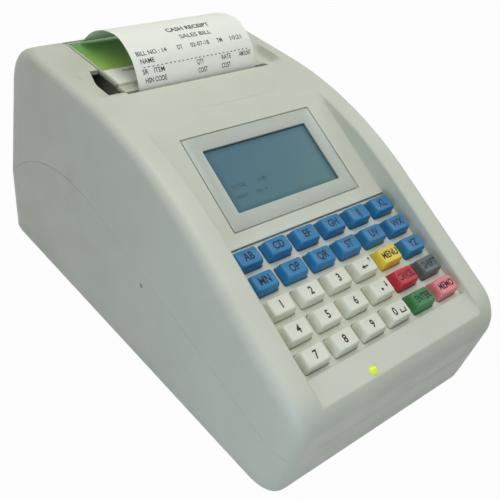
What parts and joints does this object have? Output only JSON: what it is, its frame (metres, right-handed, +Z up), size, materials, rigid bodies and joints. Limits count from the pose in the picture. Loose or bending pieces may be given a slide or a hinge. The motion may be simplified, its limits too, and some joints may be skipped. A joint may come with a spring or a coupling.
{
  "type": "ticket register",
  "caption": "Wedge-shaped desktop ticket register: a keypad and a display in a recessed deck, and a thermal printer under a lifting lid with a curl of paper.",
  "frame": {"origin": "under the middle of the case, on the surface the rubber feet stand on", "axes": "+X to the right of a person at the keypad, +Y from the keypad towards the back, +Z up"},
  "size_m": [0.148, 0.28, 0.1515],
  "materials": {
    "shell": "fine matt texture",
    "lid_plastic": "fine matt texture with a printed label",
    "key_blue": "satin",
    "key_white": "satin",
    "key_yellow": "satin",
    "key_red": "satin",
    "key_grey": "satin",
    "key_green": "satin",
    "key_pink": "satin",
    "panel": "printed film",
    "lens": "polished",
    "led": "clear",
    "board": "solder mask",
    "steel": "brushed",
    "sheet_metal": "brushed",
    "brass": "turned",
    "gear_plastic": "satin",
    "rubber": "matt",
    "dark_plastic": "fine matt texture",
    "paper": "uncoated",
    "battery": "shrink sleeve"
  },
  "bodies": {
    "case": {"lower_case": "shell", "upper_case": "shell", "rubber_feet": "rubber", "case_screws": "steel", "display_panel": "panel", "display_frame": "sheet_metal", "display_glass": "lens", "display_board": "board", "key_frame": "shell", "board_spacers": "brass", "key_board": "board", "status_led": "led", "paper_well": "shell", "printer_chassis": "steel", "print_head": "sheet_metal", "drive_motor": "steel", "tear_bar": "steel", "main_board": "board", "battery_pack": "battery", "rear_sockets": "dark_plastic", "hinge_pin": "steel"},
    "lid": {"paper_lid": "lid_plastic", "platen_bushings": "brass", "receipt": "paper"},
    "platen": {"platen_roller": "rubber", "platen_shaft": "steel", "platen_gear": "gear_plastic"},
    "idler": {"idler_gear": "gear_plastic"},
    "motor_rotor": {"motor_pinion": "brass"},
    "roll": {"paper_roll": "paper"},
    "rocker": {"power_rocker": "dark_plastic"},
    "key_ab": {"key_ab": "key_blue"},
    "key_cd": {"key_cd": "key_blue"},
    "key_ef": {"key_ef": "key_blue"},
    "key_gh": {"key_gh": "key_blue"},
    "key_ij": {"key_ij": "key_blue"},
    "key_kl": {"key_kl": "key_blue"},
    "key_mn": {"key_mn": "key_blue"},
    "key_op": {"key_op": "key_blue"},
    "key_qr": {"key_qr": "key_blue"},
    "key_st": {"key_st": "key_blue"},
    "key_uv": {"key_uv": "key_blue"},
    "key_wx": {"key_wx": "key_blue"},
    "key_1": {"key_1": "key_white"},
    "key_2": {"key_2": "key_white"},
    "key_3": {"key_3": "key_white"},
    "key_back": {"key_back": "key_white"},
    "key_menu": {"key_menu": "key_yellow"},
    "key_yz": {"key_yz": "key_blue"},
    "key_4": {"key_4": "key_white"},
    "key_5": {"key_5": "key_white"},
    "key_6": {"key_6": "key_white"},
    "key_point": {"key_point": "key_white"},
    "key_cancel": {"key_cancel": "key_red"},
    "key_shift": {"key_shift": "key_grey"},
    "key_7": {"key_7": "key_white"},
    "key_8": {"key_8": "key_white"},
    "key_9": {"key_9": "key_white"},
    "key_0": {"key_0": "key_white"},
    "key_enter": {"key_enter": "key_green"},
    "key_memo": {"key_memo": "key_pink"}
  },
  "joints": [
    {"name": "lid_hinge", "type": "hinge", "parent": "case", "child": "lid", "pos_m": [0, 0.09736, 0.12717], "axis": [-1, 0, 0], "range_deg": [0, 55]},
    {"name": "platen_spin", "type": "hinge", "parent": "lid", "child": "platen", "pos_m": [0, 0.04245, 0.1204], "axis": [1, 0, 0], "continuous": true},
    {"name": "idler_spin", "type": "hinge", "parent": "case", "child": "idler", "pos_m": [0.04435, 0.03697, 0.10515], "axis": [1, 0, 0], "continuous": true},
    {"name": "rotor_spin", "type": "hinge", "parent": "case", "child": "motor_rotor", "pos_m": [0.04, 0.02809, 0.09621], "axis": [1, 0, 0], "continuous": true},
    {"name": "roll_spin", "type": "hinge", "parent": "case", "child": "roll", "pos_m": [0, 0.0704, 0.0864], "axis": [1, 0, 0], "continuous": true},
    {"name": "rocker_tip", "type": "hinge", "parent": "case", "child": "rocker", "pos_m": [-0.042, 0.1347, 0.024], "axis": [-1, 0, 0], "range_deg": [0, 16]},
    {"name": "key_ab_press", "type": "slide", "parent": "case", "child": "key_ab", "axis": [0, -0.4011, 0.916], "range_m": [-0.0018, 0], "stiffness_N_per_m": 250, "springref_m": 0.0005},
    {"name": "key_cd_press", "type": "slide", "parent": "case", "child": "key_cd", "axis": [0, -0.4011, 0.916], "range_m": [-0.0018, 0], "stiffness_N_per_m": 250, "springref_m": 0.0005},
    {"name": "key_ef_press", "type": "slide", "parent": "case", "child": "key_ef", "axis": [0, -0.4011, 0.916], "range_m": [-0.0018, 0], "stiffness_N_per_m": 250, "springref_m": 0.0005},
    {"name": "key_gh_press", "type": "slide", "parent": "case", "child": "key_gh", "axis": [0, -0.4011, 0.916], "range_m": [-0.0018, 0], "stiffness_N_per_m": 250, "springref_m": 0.0005},
    {"name": "key_ij_press", "type": "slide", "parent": "case", "child": "key_ij", "axis": [0, -0.4011, 0.916], "range_m": [-0.0018, 0], "stiffness_N_per_m": 250, "springref_m": 0.0005},
    {"name": "key_kl_press", "type": "slide", "parent": "case", "child": "key_kl", "axis": [0, -0.4011, 0.916], "range_m": [-0.0018, 0], "stiffness_N_per_m": 250, "springref_m": 0.0005},
    {"name": "key_mn_press", "type": "slide", "parent": "case", "child": "key_mn", "axis": [0, -0.4011, 0.916], "range_m": [-0.0018, 0], "stiffness_N_per_m": 250, "springref_m": 0.0005},
    {"name": "key_op_press", "type": "slide", "parent": "case", "child": "key_op", "axis": [0, -0.4011, 0.916], "range_m": [-0.0018, 0], "stiffness_N_per_m": 250, "springref_m": 0.0005},
    {"name": "key_qr_press", "type": "slide", "parent": "case", "child": "key_qr", "axis": [0, -0.4011, 0.916], "range_m": [-0.0018, 0], "stiffness_N_per_m": 250, "springref_m": 0.0005},
    {"name": "key_st_press", "type": "slide", "parent": "case", "child": "key_st", "axis": [0, -0.4011, 0.916], "range_m": [-0.0018, 0], "stiffness_N_per_m": 250, "springref_m": 0.0005},
    {"name": "key_uv_press", "type": "slide", "parent": "case", "child": "key_uv", "axis": [0, -0.4011, 0.916], "range_m": [-0.0018, 0], "stiffness_N_per_m": 250, "springref_m": 0.0005},
    {"name": "key_wx_press", "type": "slide", "parent": "case", "child": "key_wx", "axis": [0, -0.4011, 0.916], "range_m": [-0.0018, 0], "stiffness_N_per_m": 250, "springref_m": 0.0005},
    {"name": "key_1_press", "type": "slide", "parent": "case", "child": "key_1", "axis": [0, -0.4011, 0.916], "range_m": [-0.0018, 0], "stiffness_N_per_m": 250, "springref_m": 0.0005},
    {"name": "key_2_press", "type": "slide", "parent": "case", "child": "key_2", "axis": [0, -0.4011, 0.916], "range_m": [-0.0018, 0], "stiffness_N_per_m": 250, "springref_m": 0.0005},
    {"name": "key_3_press", "type": "slide", "parent": "case", "child": "key_3", "axis": [0, -0.4011, 0.916], "range_m": [-0.0018, 0], "stiffness_N_per_m": 250, "springref_m": 0.0005},
    {"name": "key_back_press", "type": "slide", "parent": "case", "child": "key_back", "axis": [0, -0.4011, 0.916], "range_m": [-0.0018, 0], "stiffness_N_per_m": 250, "springref_m": 0.0005},
    {"name": "key_menu_press", "type": "slide", "parent": "case", "child": "key_menu", "axis": [0, -0.4011, 0.916], "range_m": [-0.0018, 0], "stiffness_N_per_m": 250, "springref_m": 0.0005},
    {"name": "key_yz_press", "type": "slide", "parent": "case", "child": "key_yz", "axis": [0, -0.4011, 0.916], "range_m": [-0.0018, 0], "stiffness_N_per_m": 250, "springref_m": 0.0005},
    {"name": "key_4_press", "type": "slide", "parent": "case", "child": "key_4", "axis": [0, -0.4011, 0.916], "range_m": [-0.0018, 0], "stiffness_N_per_m": 250, "springref_m": 0.0005},
    {"name": "key_5_press", "type": "slide", "parent": "case", "child": "key_5", "axis": [0, -0.4011, 0.916], "range_m": [-0.0018, 0], "stiffness_N_per_m": 250, "springref_m": 0.0005},
    {"name": "key_6_press", "type": "slide", "parent": "case", "child": "key_6", "axis": [0, -0.4011, 0.916], "range_m": [-0.0018, 0], "stiffness_N_per_m": 250, "springref_m": 0.0005},
    {"name": "key_point_press", "type": "slide", "parent": "case", "child": "key_point", "axis": [0, -0.4011, 0.916], "range_m": [-0.0018, 0], "stiffness_N_per_m": 250, "springref_m": 0.0005},
    {"name": "key_cancel_press", "type": "slide", "parent": "case", "child": "key_cancel", "axis": [0, -0.4011, 0.916], "range_m": [-0.0018, 0], "stiffness_N_per_m": 250, "springref_m": 0.0005},
    {"name": "key_shift_press", "type": "slide", "parent": "case", "child": "key_shift", "axis": [0, -0.4011, 0.916], "range_m": [-0.0018, 0], "stiffness_N_per_m": 250, "springref_m": 0.0005},
    {"name": "key_7_press", "type": "slide", "parent": "case", "child": "key_7", "axis": [0, -0.4011, 0.916], "range_m": [-0.0018, 0], "stiffness_N_per_m": 250, "springref_m": 0.0005},
    {"name": "key_8_press", "type": "slide", "parent": "case", "child": "key_8", "axis": [0, -0.4011, 0.916], "range_m": [-0.0018, 0], "stiffness_N_per_m": 250, "springref_m": 0.0005},
    {"name": "key_9_press", "type": "slide", "parent": "case", "child": "key_9", "axis": [0, -0.4011, 0.916], "range_m": [-0.0018, 0], "stiffness_N_per_m": 250, "springref_m": 0.0005},
    {"name": "key_0_press", "type": "slide", "parent": "case", "child": "key_0", "axis": [0, -0.4011, 0.916], "range_m": [-0.0018, 0], "stiffness_N_per_m": 250, "springref_m": 0.0005},
    {"name": "key_enter_press", "type": "slide", "parent": "case", "child": "key_enter", "axis": [0, -0.4011, 0.916], "range_m": [-0.0018, 0], "stiffness_N_per_m": 250, "springref_m": 0.0005},
    {"name": "key_memo_press", "type": "slide", "parent": "case", "child": "key_memo", "axis": [0, -0.4011, 0.916], "range_m": [-0.0018, 0], "stiffness_N_per_m": 250, "springref_m": 0.0005}
  ],
  "couplings": [
    {"joint": "idler_spin", "follows": "platen_spin", "ratio": -0.8},
    {"joint": "rotor_spin", "follows": "platen_spin", "ratio": 2}
  ]
}
